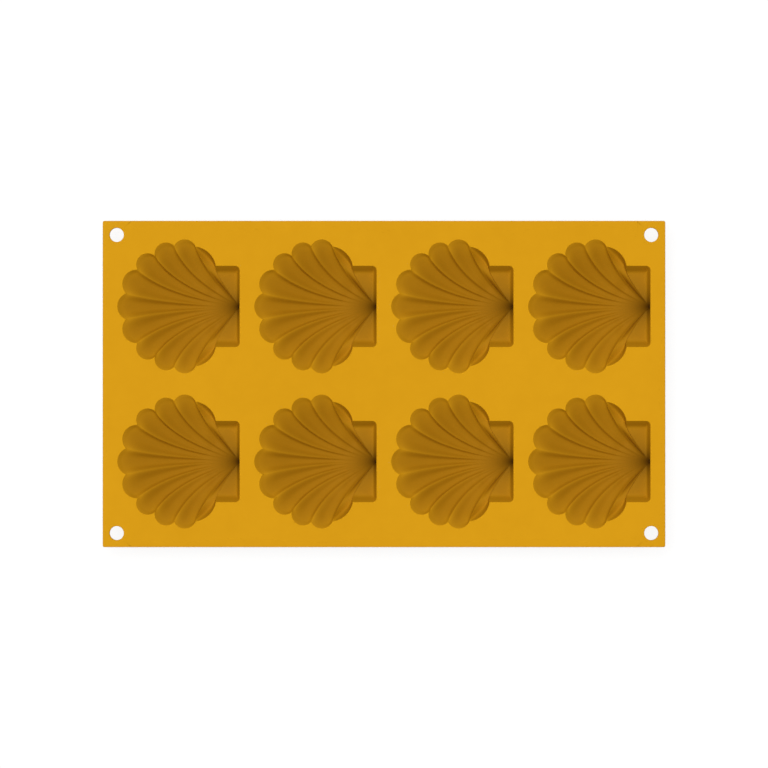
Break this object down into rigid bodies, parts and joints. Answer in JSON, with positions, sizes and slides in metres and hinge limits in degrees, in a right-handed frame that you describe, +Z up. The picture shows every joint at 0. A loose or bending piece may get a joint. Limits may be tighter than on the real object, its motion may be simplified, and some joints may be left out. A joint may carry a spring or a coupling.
{
  "type": "silicone baking mould",
  "caption": "Flexible silicone baking mould: a flat rectangular sheet with rows of ribbed scallop-shell cups and a hanging hole in each corner.",
  "frame": {"origin": "middle of the sheet, in the plane of the cups' feet", "axes": "+X along the sheet's long side, towards the shells' straight hinge edges; +Y along the short side; +Z up, out of the open side of the cups"},
  "size_m": [0.3, 0.174, 0.0175],
  "materials": {
    "silicone": "satin ochre-yellow silicone rubber, about 55 Shore A"
  },
  "bodies": {
    "panel_a": {"sheet_panel_a": "silicone"},
    "panel_b": {"sheet_panel_b": "silicone", "flex_web_ab": "silicone", "flex_web_bc": "silicone"},
    "panel_c": {"sheet_panel_c": "silicone", "flex_web_cd": "silicone"},
    "panel_d": {"sheet_panel_d": "silicone"},
    "cup_a_front": {"shell_cup_a_front": "silicone"},
    "cup_a_back": {"shell_cup_a_back": "silicone"},
    "cup_b_front": {"shell_cup_b_front": "silicone"},
    "cup_b_back": {"shell_cup_b_back": "silicone"},
    "cup_c_front": {"shell_cup_c_front": "silicone"},
    "cup_c_back": {"shell_cup_c_back": "silicone"},
    "cup_d_front": {"shell_cup_d_front": "silicone"},
    "cup_d_back": {"shell_cup_d_back": "silicone"}
  },
  "joints": [
    {"name": "flex_ab", "type": "hinge", "parent": "panel_b", "child": "panel_a", "pos_m": [-0.073, 0, 0.0164], "axis": [0, 1, 0], "range_deg": [-45, 25], "stiffness_Nm_per_rad": 0.12, "deforming": ["flex_web_ab"]},
    {"name": "flex_bc", "type": "hinge", "parent": "panel_b", "child": "panel_c", "pos_m": [0, 0, 0.0164], "axis": [0, -1, 0], "range_deg": [-45, 25], "stiffness_Nm_per_rad": 0.12, "deforming": ["flex_web_bc"]},
    {"name": "flex_cd", "type": "hinge", "parent": "panel_c", "child": "panel_d", "pos_m": [0.073, 0, 0.0164], "axis": [0, -1, 0], "range_deg": [-45, 25], "stiffness_Nm_per_rad": 0.12, "deforming": ["flex_web_cd"]},
    {"name": "push_a_front", "type": "slide", "parent": "panel_a", "child": "cup_a_front", "axis": [0, 0, 1], "range_m": [0, 0.008], "stiffness_N_per_m": 600},
    {"name": "push_a_back", "type": "slide", "parent": "panel_a", "child": "cup_a_back", "axis": [0, 0, 1], "range_m": [0, 0.008], "stiffness_N_per_m": 600},
    {"name": "push_b_front", "type": "slide", "parent": "panel_b", "child": "cup_b_front", "axis": [0, 0, 1], "range_m": [0, 0.008], "stiffness_N_per_m": 600},
    {"name": "push_b_back", "type": "slide", "parent": "panel_b", "child": "cup_b_back", "axis": [0, 0, 1], "range_m": [0, 0.008], "stiffness_N_per_m": 600},
    {"name": "push_c_front", "type": "slide", "parent": "panel_c", "child": "cup_c_front", "axis": [0, 0, 1], "range_m": [0, 0.008], "stiffness_N_per_m": 600},
    {"name": "push_c_back", "type": "slide", "parent": "panel_c", "child": "cup_c_back", "axis": [0, 0, 1], "range_m": [0, 0.008], "stiffness_N_per_m": 600},
    {"name": "push_d_front", "type": "slide", "parent": "panel_d", "child": "cup_d_front", "axis": [0, 0, 1], "range_m": [0, 0.008], "stiffness_N_per_m": 600},
    {"name": "push_d_back", "type": "slide", "parent": "panel_d", "child": "cup_d_back", "axis": [0, 0, 1], "range_m": [0, 0.008], "stiffness_N_per_m": 600}
  ]
}
